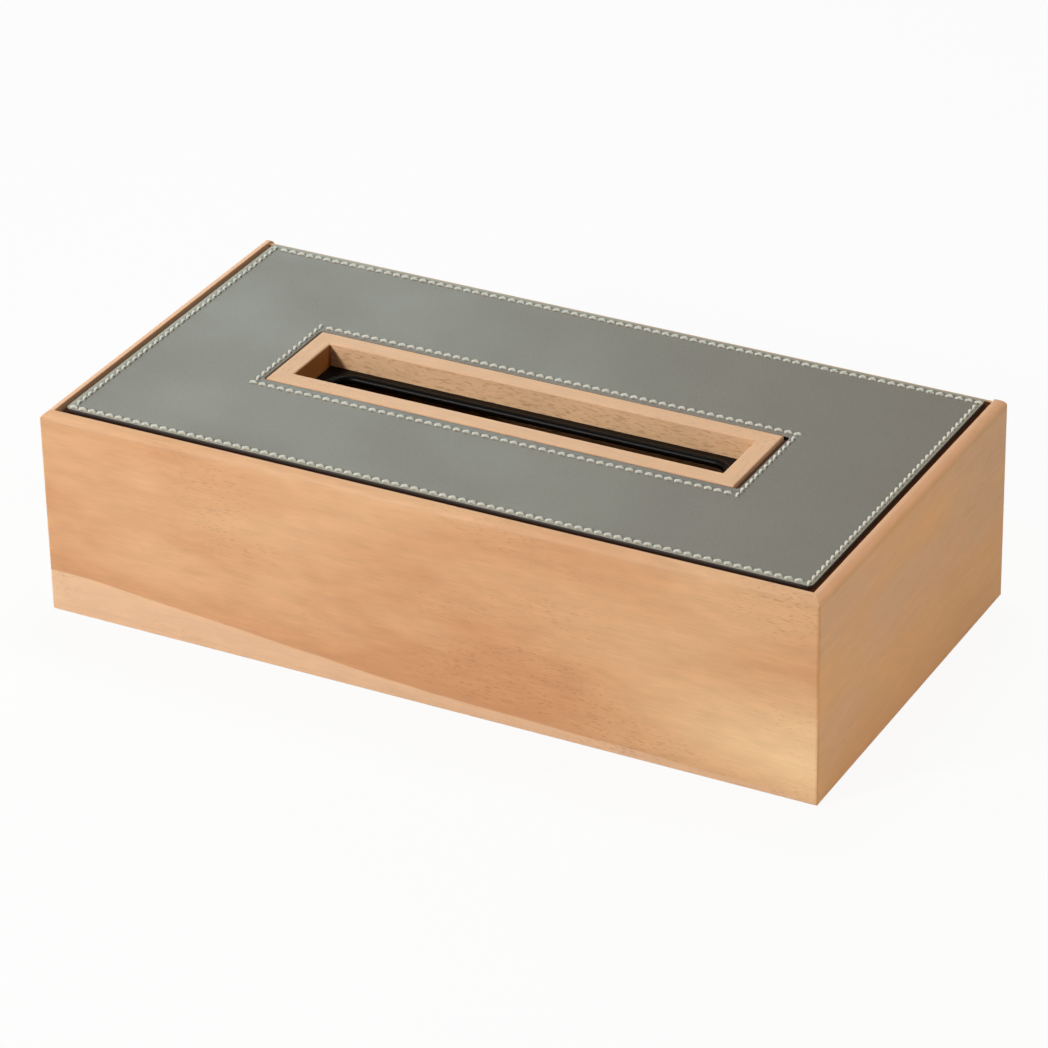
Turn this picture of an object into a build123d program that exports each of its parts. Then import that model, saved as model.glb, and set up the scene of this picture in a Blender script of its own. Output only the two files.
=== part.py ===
"""Wooden tissue box with a lift-out lid, covered in leather and with a framed dispensing slot.

Millimetres. The origin is the middle of the rectangle that the box stands on: +X runs along the
length to the right, +Y runs from the front to the back and +Z points up.
"""
from build123d import *
import os

os.makedirs("parts", exist_ok=True)

# ---- driving dimensions ----------------------------------------------------------------------
box_length = 260.0
box_width = 136.0
box_height = 68.5            # up to the rim of the walls
wall_thickness = 8.0
rim_width = 3.5              # what is left of a wall above the ledge that carries the lid
rim_round = 3.3              # rounded-over outer edge of the rim
corner_round = 0.9           # rounded upright corners
foot_round = 0.6             # broken edge round the foot of the walls
inner_arris = 0.15           # broken edge of the ledge and of the rim towards the lid
rim_flat = 0.05              # least level stretch between the rim's two edges
back_rim_drop = 0.8          # the back wall's rim is this much lower, between the side walls

base_thickness = 4.0
base_height = 3.0            # underside of the base above the foot of the walls
groove_depth = 4.0           # groove in the walls that holds the base
base_clearance = 0.3         # edge of the base to the bottom of its groove

key_thickness = 2.0          # loose keys glued across the mitres
key_reach = 3.2              # how far a key runs into each wall
key_clearance = 0.1
key_inset = 1.5              # keys stop this far above the base and below the ledge

lid_side_gap = 1.75          # lid to rim at each end
lid_front_gap = 2.5          # the loose lid lies against the back, so the front gap is the wide one
lid_back_gap = 0.25
lid_board_thickness = 6.2
lid_corner_round = 2.0
lid_foot_chamfer = 0.6
leather_thickness = 1.5
leather_proud = 0.0          # leather's face above the rim: flush
leather_edge_round = 0.35

slot_length = 145.9
slot_width = 22.3
slot_offset = -0.9           # the slot lies a little nearer the front
slot_strip = 6.3             # width of the strips that frame the slot
slot_edge_round = 0.5
leather_gap = 0.4            # leather to the outside of the slot's frame
leather_gap_right = 1.9      # the same at the right end, where the opening is cut too long
leather_opening_round = 1.0

insert_thickness = 2.2       # moulded plate under the lid
insert_margin = 10.0         # how far the plate reaches past the slot's frame
insert_corner_round = 6.0
insert_edge_chamfer = 0.5
lip_length = 137.0           # centre line of the rolled lip round the plate's opening
lip_width = 14.4
lip_radius = 1.4
lip_proud = 0.8              # top of the lip above the plate

screw_margin = 5.0           # screws to the edge of the plate
screw_columns = 3
screw_rows = 2
screw_shank_radius = 1.1
screw_shank_length = 5.6
screw_head_radius = 2.2
screw_head_height = 1.4
screw_head_chamfer = 0.6
screw_hole_clearance = 0.1
screw_tip_clearance = 0.6
screw_recess_length = 2.4
screw_recess_width = 0.5
screw_recess_depth = 0.7

# ---- derived sizes ---------------------------------------------------------------------------
outer_rim_round = min(rim_round, rim_width - inner_arris - rim_flat)
inner_length = box_length - 2 * wall_thickness
inner_width = box_width - 2 * wall_thickness
seat_length = box_length - 2 * rim_width
seat_width = box_width - 2 * rim_width
groove_length = inner_length + 2 * groove_depth
groove_width = inner_width + 2 * groove_depth

lid_length = seat_length - 2 * lid_side_gap
lid_width = seat_width - lid_front_gap - lid_back_gap
lid_centre = (0, (lid_front_gap - lid_back_gap) / 2)
lid_top = box_height + leather_proud
leather_bottom = lid_top - leather_thickness
ledge_height = leather_bottom - lid_board_thickness

slot_frame_length = slot_length + 2 * slot_strip
slot_frame_width = slot_width + 2 * slot_strip
insert_length = slot_frame_length + 2 * insert_margin
insert_width = slot_frame_width + 2 * insert_margin
insert_bottom = ledge_height - insert_thickness
lip_height = ledge_height + lip_proud - lip_radius

screw_spacing_x = (insert_length - 2 * screw_margin) / (screw_columns - 1)
screw_spacing_y = (insert_width - 2 * screw_margin) / (screw_rows - 1)
screw_depth = screw_shank_length - insert_thickness + screw_tip_clearance

key_bottom = base_height + base_thickness + key_inset
key_length = ledge_height - key_inset - key_bottom

side_turns = {"front": 0, "right": 90, "back": 180, "left": 270}


def save(builder, node):
    """Label a finished piece and write it under its node's name."""
    builder.part.label = node
    export_step(builder.part, f"parts/{node}.step")


def strip_plan(length, width, strip, turn, centre=(0, 0)):
    """Plan of the mitred strip along one side of a length by width rectangle.

    A turn of 0 gives the side that faces the front, and each quarter turn the next one round.
    """
    along, across = (length, width) if turn % 180 == 0 else (width, length)
    with BuildSketch(Plane(origin=(*centre, 0)).rotated((0, 0, turn))) as plan:
        with BuildLine():
            Polyline(
                (-along / 2, -across / 2),
                (along / 2, -across / 2),
                (along / 2 - strip, -across / 2 + strip),
                (-along / 2 + strip, -across / 2 + strip),
                close=True,
            )
        make_face()
    return plan.sketch


def rounded_top_section(width):
    """Section of the whole box across its length or its width, with the rim's outer edges rounded."""
    with BuildSketch(Plane.XY) as section:
        with Locations((0, box_height / 2)):
            Rectangle(width, box_height)
        fillet(section.vertices().group_by(Axis.Y)[-1], outer_rim_round)
        fillet(section.vertices().group_by(Axis.Y)[0], foot_round)
    return section.sketch


# ---- walls -----------------------------------------------------------------------------------
# The four walls share one moulded form: the box's outside, the space for the tissues, the seat
# for the lid and the groove for the base. It is then parted at the mitres.
with BuildPart() as carcass:
    extrude(Plane.YZ * rounded_top_section(box_width), amount=box_length / 2, both=True)
    extrude(
        Plane.XZ * rounded_top_section(box_length),
        amount=box_width / 2,
        both=True,
        mode=Mode.INTERSECT,
    )
    with BuildSketch():
        RectangleRounded(box_length, box_width, corner_round)
    extrude(amount=box_height, mode=Mode.INTERSECT)
    with BuildSketch():
        Rectangle(inner_length, inner_width)
    extrude(amount=box_height, mode=Mode.SUBTRACT)
    with BuildSketch(Plane.XY.offset(ledge_height)):
        Rectangle(seat_length, seat_width)
    extrude(amount=box_height - ledge_height, mode=Mode.SUBTRACT)
    ledge, rim = carcass.faces().filter_by(Axis.Z).sort_by(Axis.Z)[-2:]
    chamfer(ledge.inner_wires()[0].edges() + rim.inner_wires()[0].edges(), inner_arris)
    with BuildSketch(Plane.XY.offset(base_height)):
        Rectangle(groove_length, groove_width)
    extrude(amount=base_thickness, mode=Mode.SUBTRACT)

key_places = [
    Location((x * (box_length - wall_thickness) / 2, y * (box_width - wall_thickness) / 2), -45 * x * y)
    for x in (-1, 1)
    for y in (-1, 1)
]

with BuildPart() as back_relief:
    with BuildSketch(Plane.YZ):
        with Locations((box_width / 2, box_height)):
            Rectangle(2 * rim_width, 2 * (outer_rim_round + back_rim_drop))
        with Locations((0, -back_rim_drop)):
            add(rounded_top_section(box_width), mode=Mode.SUBTRACT)
    extrude(amount=seat_length / 2, both=True)

for side, turn in side_turns.items():
    with BuildPart() as wall:
        add(carcass.part)
        if side == "back":
            add(back_relief.part, mode=Mode.SUBTRACT)
        extrude(
            strip_plan(box_length, box_width, wall_thickness, turn),
            amount=box_height,
            mode=Mode.INTERSECT,
        )
        with BuildSketch(Plane.XY.offset(key_bottom - key_clearance)):
            with Locations(*key_places):
                Rectangle(2 * (key_reach + key_clearance), key_thickness)
        extrude(amount=key_length + 2 * key_clearance, mode=Mode.SUBTRACT)
    save(wall, f"{side}_wall")

with BuildPart() as corner_keys:
    with BuildSketch(Plane.XY.offset(key_bottom)):
        with Locations(*key_places):
            Rectangle(2 * key_reach, key_thickness)
    extrude(amount=key_length)
save(corner_keys, "corner_keys")

# ---- base ------------------------------------------------------------------------------------
with BuildPart() as base_board:
    with BuildSketch(Plane.XY.offset(base_height)):
        Rectangle(groove_length - 2 * base_clearance, groove_width - 2 * base_clearance)
    extrude(amount=base_thickness)
save(base_board, "base_board")

# ---- lid -------------------------------------------------------------------------------------
slot_centre = (0, slot_offset)
leather_opening_centre = ((leather_gap_right - leather_gap) / 2, slot_offset)

with BuildPart() as lid_board:
    with BuildSketch(Plane.XY.offset(ledge_height)):
        with Locations(lid_centre):
            RectangleRounded(lid_length, lid_width, lid_corner_round)
        with Locations(slot_centre):
            Rectangle(slot_frame_length, slot_frame_width, mode=Mode.SUBTRACT)
    extrude(amount=lid_board_thickness)
    foot = lid_board.faces().sort_by(Axis.Z)[0]
    chamfer(foot.outer_wire().edges(), lid_foot_chamfer)
    with BuildSketch(Plane.XY.offset(ledge_height)):
        with Locations(slot_centre):
            with GridLocations(screw_spacing_x, screw_spacing_y, screw_columns, screw_rows):
                Circle(screw_shank_radius + screw_hole_clearance)
    extrude(amount=screw_depth, mode=Mode.SUBTRACT)
save(lid_board, "lid_board")

with BuildPart() as leather_cover:
    with BuildSketch(Plane.XY.offset(leather_bottom)):
        with Locations(lid_centre):
            RectangleRounded(lid_length, lid_width, lid_corner_round)
        with Locations(leather_opening_centre):
            RectangleRounded(
                slot_frame_length + leather_gap + leather_gap_right,
                slot_frame_width + 2 * leather_gap,
                leather_opening_round,
                mode=Mode.SUBTRACT,
            )
    extrude(amount=leather_thickness)
    fillet(leather_cover.edges().group_by(Axis.Z)[-1], leather_edge_round)
save(leather_cover, "leather_cover")

# ---- frame round the slot --------------------------------------------------------------------
with BuildPart() as slot_frame:
    with BuildSketch(Plane.XY.offset(ledge_height)):
        with Locations(slot_centre):
            Rectangle(slot_frame_length, slot_frame_width)
            Rectangle(slot_length, slot_width, mode=Mode.SUBTRACT)
    extrude(amount=lid_top - ledge_height)
    fillet(slot_frame.edges().group_by(Axis.Z)[-1], slot_edge_round)

for side, turn in side_turns.items():
    with BuildPart() as strip:
        add(slot_frame.part)
        extrude(
            strip_plan(slot_frame_length, slot_frame_width, slot_strip, turn, slot_centre),
            amount=lid_top,
            mode=Mode.INTERSECT,
        )
    save(strip, f"slot_frame_{side}")

# ---- dispensing insert -----------------------------------------------------------------------
with BuildPart() as dispensing_insert:
    with BuildSketch(Plane.XY.offset(insert_bottom)):
        with Locations(slot_centre):
            RectangleRounded(insert_length, insert_width, insert_corner_round)
    extrude(amount=insert_thickness)
    chamfer(dispensing_insert.edges().group_by(Axis.Z)[0], insert_edge_chamfer)
    with BuildSketch(Plane.XY.offset(insert_bottom)):
        with Locations(slot_centre):
            SlotOverall(lip_length, lip_width)
            with GridLocations(screw_spacing_x, screw_spacing_y, screw_columns, screw_rows):
                Circle(screw_shank_radius + screw_hole_clearance)
    extrude(amount=insert_thickness, mode=Mode.SUBTRACT)
    with BuildSketch(Plane.XY.offset(lip_height), mode=Mode.PRIVATE) as lip_outline:
        with Locations(slot_centre):
            SlotOverall(lip_length, lip_width)
    lip_path = lip_outline.sketch.face().outer_wire()
    with BuildSketch(Plane(origin=lip_path @ 0, z_dir=lip_path % 0)):
        Circle(lip_radius)
    sweep(path=lip_path)
save(dispensing_insert, "dispensing_insert")

# ---- screws that hold the insert -------------------------------------------------------------
with BuildPart() as insert_screws:
    with BuildSketch(Plane.XY.offset(insert_bottom)):
        with Locations(slot_centre):
            with GridLocations(screw_spacing_x, screw_spacing_y, screw_columns, screw_rows):
                Circle(screw_shank_radius)
    extrude(amount=screw_shank_length)
    with BuildSketch(Plane.XY.offset(insert_bottom)):
        with Locations(slot_centre):
            with GridLocations(screw_spacing_x, screw_spacing_y, screw_columns, screw_rows):
                Circle(screw_head_radius)
    extrude(amount=-screw_head_height)
    chamfer(insert_screws.edges().group_by(Axis.Z)[0], screw_head_chamfer)
    with BuildSketch(Plane.XY.offset(insert_bottom - screw_head_height)):
        with Locations(slot_centre):
            with GridLocations(screw_spacing_x, screw_spacing_y, screw_columns, screw_rows):
                Rectangle(screw_recess_length, screw_recess_width)
                Rectangle(screw_recess_width, screw_recess_length)
    extrude(amount=screw_recess_depth, mode=Mode.SUBTRACT)
save(insert_screws, "insert_screws")
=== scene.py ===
"""Looks of a wooden tissue box with a stitched leather lid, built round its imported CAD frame.

Metres, in the frame's own axes: +X along the box's length, +Y to the back, +Z up.
"""

import math

import bpy
from bpy.props import FloatProperty, FloatVectorProperty, IntProperty, PointerProperty
from mathutils import Matrix, Vector


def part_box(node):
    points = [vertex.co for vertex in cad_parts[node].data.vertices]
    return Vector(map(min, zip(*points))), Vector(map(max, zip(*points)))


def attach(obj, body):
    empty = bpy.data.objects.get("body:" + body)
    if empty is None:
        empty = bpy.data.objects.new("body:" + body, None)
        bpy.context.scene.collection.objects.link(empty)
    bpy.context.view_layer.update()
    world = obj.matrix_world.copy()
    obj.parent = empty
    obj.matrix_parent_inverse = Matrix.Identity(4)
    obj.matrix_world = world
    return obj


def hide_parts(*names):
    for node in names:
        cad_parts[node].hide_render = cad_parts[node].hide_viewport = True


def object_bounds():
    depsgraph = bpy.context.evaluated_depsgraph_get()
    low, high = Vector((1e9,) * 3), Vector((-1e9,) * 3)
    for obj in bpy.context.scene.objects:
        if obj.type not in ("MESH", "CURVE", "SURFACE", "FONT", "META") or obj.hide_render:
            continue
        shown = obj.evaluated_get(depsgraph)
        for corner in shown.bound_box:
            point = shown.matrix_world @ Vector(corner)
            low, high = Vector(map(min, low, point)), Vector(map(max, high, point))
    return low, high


bl_info = {
    "name": "Leather-topped tissue box",
    "version": (1, 0, 0),
    "blender": (4, 5, 0),
    "location": "3D View > Sidebar > Tissue Box",
    "description": "Finishes of a wooden tissue box with a stitched leather lid",
    "category": "Object",
}

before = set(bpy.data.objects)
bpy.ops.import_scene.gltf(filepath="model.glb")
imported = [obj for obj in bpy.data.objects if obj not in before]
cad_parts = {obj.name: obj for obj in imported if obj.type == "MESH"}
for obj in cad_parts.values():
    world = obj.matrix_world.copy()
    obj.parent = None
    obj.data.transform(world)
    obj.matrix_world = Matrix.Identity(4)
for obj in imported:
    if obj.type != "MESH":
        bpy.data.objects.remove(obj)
cad_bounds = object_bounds()

MM = 0.001
SIDES = ("front", "right", "back", "left")

RIM_FADE = (2.5 * MM, 0.9 * MM)  # below the top, where the painted highlight on the rounded rim starts and is full
BORDER_SWAY = 1.6 * MM  # of the border between sapwood and heartwood
DEEP_REACH = (1 * MM, 12 * MM)  # above that border, where the deeper tone starts to fade and ends
PATCH_START = (48 * MM, 42 * MM)  # along X and up, where the pale patch starts
PATCH_FULL = (125 * MM, 6 * MM)  # and where it is full
VENEER = 1.2 * MM  # one ply of the plywood
PULL_REACH = 0.8 * MM  # across a seam, how far the thread pulls the face down
DENT_WIDTH = 0.5 * MM  # the dent under each stitch, across the seam
DENT_LENGTH = 0.42 * MM  # and along it
STITCH_JITTER = math.radians(2.5)
STRAND_TWIST = 1.3 * math.pi


def linear(code):
    """An sRGB hex colour as linear red, green and blue."""
    channels = (int(code[i : i + 2], 16) / 255 for i in (1, 3, 5))
    return tuple(c / 12.92 if c <= 0.04045 else ((c + 0.055) / 1.055) ** 2.4 for c in channels)


def feed(made, inputs):
    """Give each of a node's inputs a value or a link."""
    for key, value in inputs.items():
        if isinstance(value, bpy.types.NodeSocket):
            made.id_data.links.new(value, made.inputs[key])
        else:
            made.inputs[key].default_value = value


def node(tree, kind, inputs=None, **settings):
    """Add a node with its settings, values and links."""
    made = tree.nodes.new(kind)
    for key, value in settings.items():
        setattr(made, key, value)
    feed(made, inputs or {})
    return made


# ---- sizes and colours that a user may change ------------------------------------------------


def colour_setting(name, description, code):
    """A colour property with an sRGB hex colour as its default."""
    return FloatVectorProperty(
        name=name, description=description, subtype="COLOR", default=linear(code)
    )


def length_setting(name, description, default):
    """A length property."""
    return FloatProperty(name=name, description=description, default=default, unit="LENGTH")


def power_setting(name, description, default):
    """The power of a lamp."""
    return FloatProperty(name=name, description=description, default=default, unit="POWER")


class WoodLook(bpy.types.PropertyGroup):
    """Colours and figure of the oiled hardwood."""

    body: colour_setting("Heartwood", "Main colour of the walls", "#DDAE84")
    warm: colour_setting("Warm zones", "Redder clouds in the heartwood", "#D19A70")
    sapwood: colour_setting("Sapwood", "Pale wood along the lower edge of the front", "#E6BE9B")
    strip: colour_setting("Slot strips", "Paler wood of the strips round the slot", "#EBBC97")
    # Painted light in the slot: the walls' open pores are real, but their paler, yellower tone
    # stands in for the key lamp's light on them, and the left wall's darker, browner tone is
    # painted shade.
    inner: colour_setting("Slot walls", "Open-pored, more yellow wood inside the slot", "#F8CDA2")
    shaded_end: colour_setting(
        "Slot's left wall", "Darker, browner wood at the slot's left end", "#B07039"
    )
    # Painted shade: the end boards' upper tone is darker and duller than their foot, and stands in
    # for the shade under the rim.
    end_top: colour_setting(
        "End boards, upper part", "Duller brown of the end boards under the rim", "#CFA782"
    )
    end_foot: colour_setting(
        "End boards, lower part", "Yellower brown of the end boards near the foot", "#D8A874"
    )
    # Painted highlight: this paler tone is laid on the rounded rim and stands in for the light that
    # catches it.
    rim: colour_setting(
        "Sanded rim", "Paler wood where the rounded rim is sanded smooth", "#F4C09A"
    )
    pale: colour_setting(
        "Pale patch", "Lighter wood at the front board's right-hand foot", "#FBDAAD"
    )
    sapwood_height: length_setting(
        "Sapwood height", "Height of the sapwood at the front's left end", 12.4 * MM
    )
    sapwood_start: length_setting(
        "Sapwood start", "Length at the left end along which the sapwood keeps its height", 15 * MM
    )
    sapwood_run: length_setting(
        "Sapwood run", "Length along which the sapwood narrows to a thin edge", 118 * MM
    )
    sapwood_edge: length_setting(
        "Sapwood edge", "Height of the thin edge of sapwood along the rest of the front", 3.2 * MM
    )


class LeatherLook(bpy.types.PropertyGroup):
    """Shape and colours of the leather."""

    field: colour_setting("Leather", "Colour of the leather", "#837C73")
    shade: colour_setting(
        "Leather shade", "Darker tone in the leather's clouds and pores", "#776F67"
    )
    # Painted highlight: the margin outside the outer seam is given this lighter tone, which stands
    # in for the light that its falling edge reflects.
    margin: colour_setting(
        "Leather margin",
        "Lighter tone where the margin outside the outer seam is rubbed",
        "#A09C8E",
    )
    edge: colour_setting("Edge paint", "Paint on the leather's cut edges", "#1E100B")
    grain_size: length_setting("Grain size", "Width of one pebble of the leather's grain", 0.9 * MM)
    edge_drop: length_setting(
        "Edge drop", "How far the face falls from the stitches to the edge", 0.1 * MM
    )
    edge_round: length_setting(
        "Edge rounding", "Radius between the face and the cut edge", 0.35 * MM
    )
    seam_depth: length_setting("Seam depth", "How far the thread pulls the face down", 0.12 * MM)
    dent_depth: length_setting(
        "Dent depth", "Extra depth of the dent under the middle of each stitch", 0.2 * MM
    )


class StitchLook(bpy.types.PropertyGroup):
    """Lie of the stitches."""

    pitch: length_setting("Stitch pitch", "Distance from one needle hole to the next", 3.2 * MM)
    thread: length_setting("Thread", "Thickness of the thread", 1.08 * MM)
    outer_insets: FloatVectorProperty(
        name="Outer insets",
        description="Stitches' distance from the leather's front, right, back and left edges",
        size=4,
        default=(1.6 * MM, 1.6 * MM, 3.1 * MM, 2.6 * MM),
        unit="LENGTH",
    )
    opening_insets: FloatVectorProperty(
        name="Opening insets",
        description="Stitches' distance from the opening's front, right, back and left edges",
        size=4,
        default=(3.9 * MM, 1.6 * MM, 2.1 * MM, 1.6 * MM),
        unit="LENGTH",
    )
    slant: FloatProperty(
        name="Slant",
        description="Turn of each stitch out of the seam's line",
        default=math.radians(9),
        subtype="ANGLE",
    )
    seed: IntProperty(name="Seed", description="Seed of the small differences", default=4)
    colour: colour_setting("Thread colour", "Colour of the waxed thread", "#E6E4DA")


class StageLook(bpy.types.PropertyGroup):
    """Camera and light."""

    azimuth: FloatProperty(
        name="Azimuth",
        description="Turn of the view to the right of the front",
        default=math.radians(28.26),
        subtype="ANGLE",
    )
    elevation: FloatProperty(
        name="Elevation",
        description="Height of the view above the horizon",
        default=math.radians(29.13),
        subtype="ANGLE",
    )
    roll: FloatProperty(
        name="Roll",
        description="Turn of the camera about its line of sight",
        default=math.radians(1.153),
        subtype="ANGLE",
    )
    camera_place: FloatVectorProperty(
        name="Camera place",
        description="Where the camera stands",
        subtype="TRANSLATION",
        unit="LENGTH",
        default=(0.62426, -1.16211, 0.76250),
    )
    lens: FloatProperty(name="Lens", description="Focal length in millimetres", default=169.25)
    ambient: FloatProperty(name="Ambient", description="Strength of the white room", default=0.4)
    key: power_setting("Key", "Power of the key lamp", 6.4)
    window: power_setting("Window", "Power of the cool lamp to the left", 0.95)
    overhead: power_setting("Overhead", "Power of the soft lamp above the box", 2.5)
    sheen: power_setting(
        "Sheen", "Power of the cool lamp behind the box that lights the leather", 1.3
    )
    fill: power_setting("Fill", "Power of the soft warm lamp behind the right end", 1.5)
    card: power_setting(
        "Card", "Power of the low warm card beside the right end, lower than the slot", 0.27
    )


class BoxLook(bpy.types.PropertyGroup):
    """All the settings of the tissue box."""

    wood: PointerProperty(type=WoodLook)
    leather: PointerProperty(type=LeatherLook)
    stitch: PointerProperty(type=StitchLook)
    stage: PointerProperty(type=StageLook)


# ---- materials -------------------------------------------------------------------------------


def new_material(name):
    """An empty material, its tree, its shader and the object coordinates."""
    material = bpy.data.materials.new(name)
    material.use_nodes = True
    tree = material.node_tree
    tree.nodes.clear()
    shader = node(tree, "ShaderNodeBsdfPrincipled")
    node(tree, "ShaderNodeOutputMaterial", {"Surface": shader.outputs[0]})
    place = node(tree, "ShaderNodeTexCoord").outputs["Object"]
    return material, tree, shader, place


def span(value, low, high, at_low=0.0, at_high=1.0):
    """The inputs of a Map Range that turns low to high into at_low to at_high."""
    return {"Value": value, "From Min": low, "From Max": high, "To Min": at_low, "To Max": at_high}


def stretched(tree, place, turn, along, across):
    """Object coordinates scaled so that one unit is along by across millimetres."""
    settings = {"Vector": place, "Rotation": (0, 0, turn), "Scale": (1 / MM,) * 3}
    turned = node(tree, "ShaderNodeMapping", settings).outputs[0]
    settings = {"Vector": turned, "Scale": (1 / along, 1 / across, 1 / across)}
    return node(tree, "ShaderNodeMapping", settings).outputs[0]


def blotches(tree, place, turn, along, across, detail, sway=None):
    """Noise in soft blotches of about along by across millimetres, its value and its colour.

    sway, where it is given, is added to the coordinates and bends the blotches.
    """
    spot = stretched(tree, place, turn, along, across)
    if sway:
        spot = node(tree, "ShaderNodeVectorMath", {0: spot, 1: sway}, operation="ADD").outputs[0]
    settings = {"Vector": spot, "Scale": 1.0, "Detail": detail}
    return node(tree, "ShaderNodeTexNoise", settings).outputs


def paint(obj, material):
    """Give every face of a piece one material."""
    obj.data.materials.clear()
    obj.data.materials.append(material)


def hardwood(
    name,
    turn,
    body,
    warm,
    contrast=1.0,
    flecks=0.5,
    fleck_size=(2.4, 0.4),
    sapwood=None,
    rim=None,
    rim_share=0.0,
):
    """Straight-grained, fine-pored hardwood such as cherry, beech or alder, sanded and oiled.

    The oil gives a low satin gloss. The eye sees soft warm clouds, faint growth lines, and short
    wavy pore flecks in zones. turn is 0 where the grain runs along X and a quarter turn where it
    runs along Y. flecks says how common the pores are, and fleck_size is their length and width
    in millimetres. sapwood is given for the board with the pale foot. rim is the paler tone of a
    painted highlight on the rounded rim, laid over the wood near the top by rim_share.
    """
    material, tree, shader, place = new_material(name)

    # warm clouds, stronger towards the foot of a wall; on the end boards this also lays their
    # darker upper tone, painted shade, under the rim
    low, high = cad_bounds
    height = node(tree, "ShaderNodeSeparateXYZ", {0: place}).outputs["Z"]
    foot = node(tree, "ShaderNodeMapRange", span(height, low.z, high.z, 0.16, -0.12)).outputs[0]
    clouds = blotches(tree, place, turn, 62, 20, 3.0)[0]
    clouds = node(tree, "ShaderNodeMath", {0: clouds, 1: foot}, operation="ADD").outputs[0]
    clouds = node(tree, "ShaderNodeMapRange", span(clouds, 0.36, 0.68)).outputs[0]
    settings = {0: clouds, 6: (*body, 1), 7: (*warm, 1)}
    colour = node(tree, "ShaderNodeMix", settings, data_type="RGBA").outputs[2]
    if sapwood:
        colour = with_sapwood(tree, place, colour, sapwood)
    # painted highlight: towards the top the wood is mixed into the paler rim tone, which stands in
    # for light on the rounded rim
    if rim:
        sanded = span(height, high.z - RIM_FADE[0], high.z - RIM_FADE[1], 0.0, rim_share)
        sanded = node(tree, "ShaderNodeMapRange", sanded).outputs[0]
        settings = {0: sanded, 6: colour, 7: (*rim, 1)}
        colour = node(tree, "ShaderNodeMix", settings, data_type="RGBA").outputs[2]

    # short wavy pore flecks, in zones; drawn a little coarse, so that the render shows them
    bend = blotches(tree, place, turn, 7, 7, 1.0)["Color"]
    settings = {0: bend, 1: (0, 3.2, 3.2)}
    sway = node(tree, "ShaderNodeVectorMath", settings, operation="MULTIPLY").outputs[0]
    pores = blotches(tree, place, turn, *fleck_size, 1.0, sway)[0]
    rarest = 0.62 - 0.04 * flecks
    softness = 0.08 + 0.04 * flecks
    pores = node(tree, "ShaderNodeMapRange", span(pores, rarest, rarest + softness)).outputs[0]
    zones = blotches(tree, place, turn, 60, 24, 1.0)[0]
    zones = span(zones, 0.62 - 0.3 * flecks, 0.8 - 0.3 * flecks)
    zones = node(tree, "ShaderNodeMapRange", zones).outputs[0]
    settings = {0: zones, 1: 0.36 * contrast}
    depth = node(tree, "ShaderNodeMath", settings, operation="MULTIPLY").outputs[0]
    share = node(tree, "ShaderNodeMath", {0: pores, 1: depth}, operation="MULTIPLY").outputs[0]
    settings = {0: share, 6: colour, 7: (*linear("#9A6234"), 1)}
    colour = node(tree, "ShaderNodeMix", settings, data_type="RGBA").outputs[2]

    # faint growth lines, mottle and fibres, each with how much lighter and darker it makes the wood
    lines = blotches(tree, place, turn, 150, 3.2, 2.0)[0]
    mottle = blotches(tree, place, turn, 11, 4, 3.0)[0]
    fibres = blotches(tree, place, turn, 9, 0.45, 2.0)[0]
    figures = ((lines, 0.022, 0.028), (mottle, 0.04, 0.045), (fibres, 0.035, 0.045))
    for figure, lighter, darker in figures:
        tone = span(figure, 0.3, 0.7, 1 + lighter * contrast, 1 - darker * contrast)
        settings = {0: colour, "Scale": node(tree, "ShaderNodeMapRange", tone).outputs[0]}
        colour = node(tree, "ShaderNodeVectorMath", settings, operation="SCALE").outputs[0]

    rough = node(tree, "ShaderNodeMapRange", span(fibres, 0.3, 0.7, 0.44, 0.56)).outputs[0]
    relief = node(tree, "ShaderNodeMath", {0: fibres, 1: pores}, operation="SUBTRACT").outputs[0]
    settings = {"Height": relief, "Strength": 0.35, "Distance": 0.05 * MM}
    bump = node(tree, "ShaderNodeBump", settings).outputs[0]
    feed(shader, {"Base Color": colour, "Roughness": rough, "Normal": bump})
    feed(shader, {"IOR": 1.45, "Specular IOR Level": 0.25})
    return material


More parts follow.
